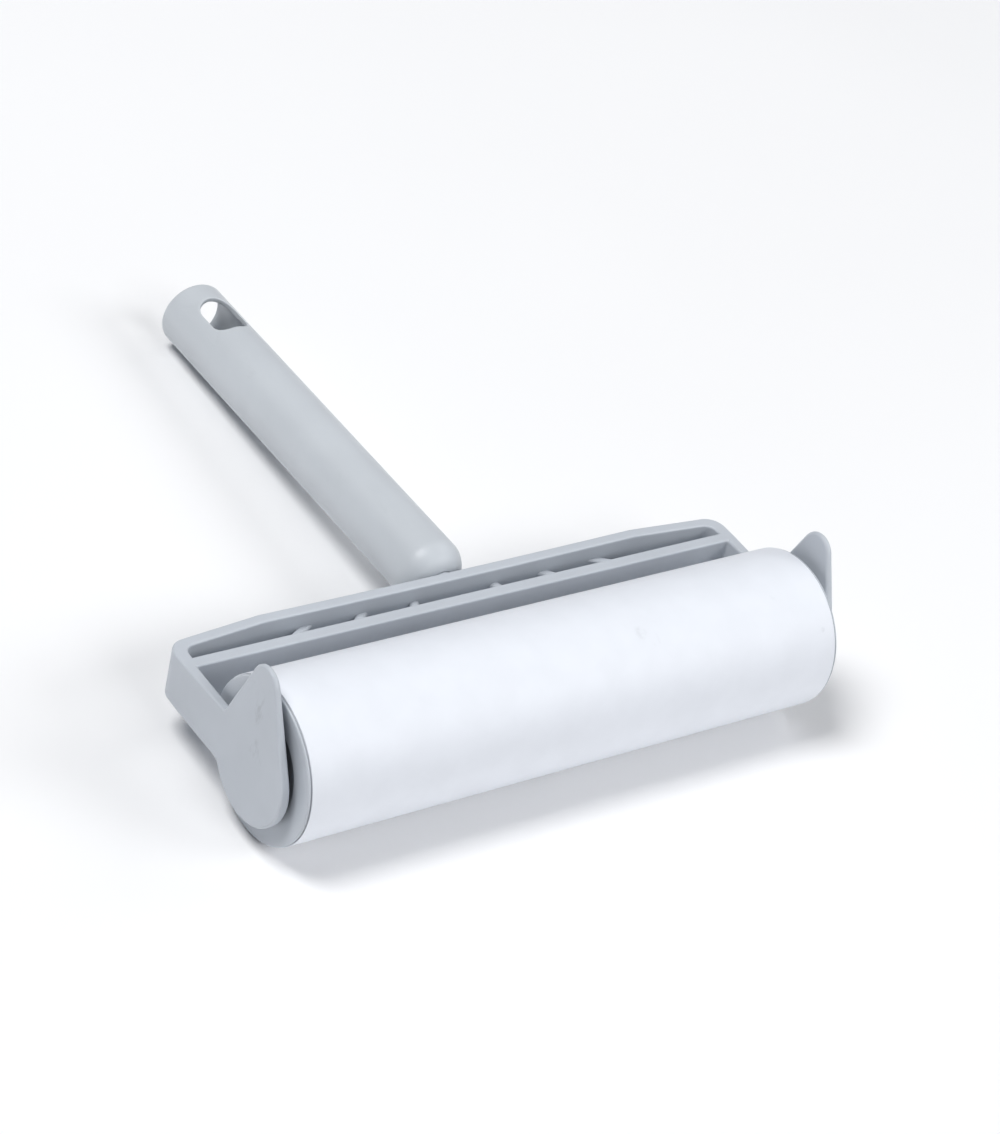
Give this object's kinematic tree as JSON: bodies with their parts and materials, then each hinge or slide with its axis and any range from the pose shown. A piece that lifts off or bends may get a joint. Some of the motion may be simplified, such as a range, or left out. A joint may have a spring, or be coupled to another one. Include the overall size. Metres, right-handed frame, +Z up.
{
  "type": "lint roller",
  "caption": "Wide lint roller: a forked plastic yoke with a tube handle holds a refill roll of adhesive sheets that turns freely on two end caps.",
  "frame": {"origin": "under the middle of the object, at the level of the surface it lies on", "axes": "+X along the roll's axis to the right, +Y from the roll towards the far end of the handle, +Z up, with the horns of the yoke on top"},
  "size_m": [0.2242, 0.2536, 0.0651],
  "materials": {
    "frame_plastic": "satin",
    "handle_plastic": "satin",
    "white_sheet": "matte",
    "core_board": "matte"
  },
  "bodies": {
    "frame": {"yoke": "frame_plastic", "handle": "handle_plastic"},
    "roller": {"outer_sheet": "white_sheet", "sheet_roll": "white_sheet", "core_tube": "core_board", "left_end_cap": "frame_plastic", "right_end_cap": "frame_plastic"}
  },
  "joints": [
    {"name": "roller_spin", "type": "hinge", "parent": "frame", "child": "roller", "pos_m": [0, -0.09928, 0.0275], "axis": [1, 0, 0], "continuous": true}
  ]
}
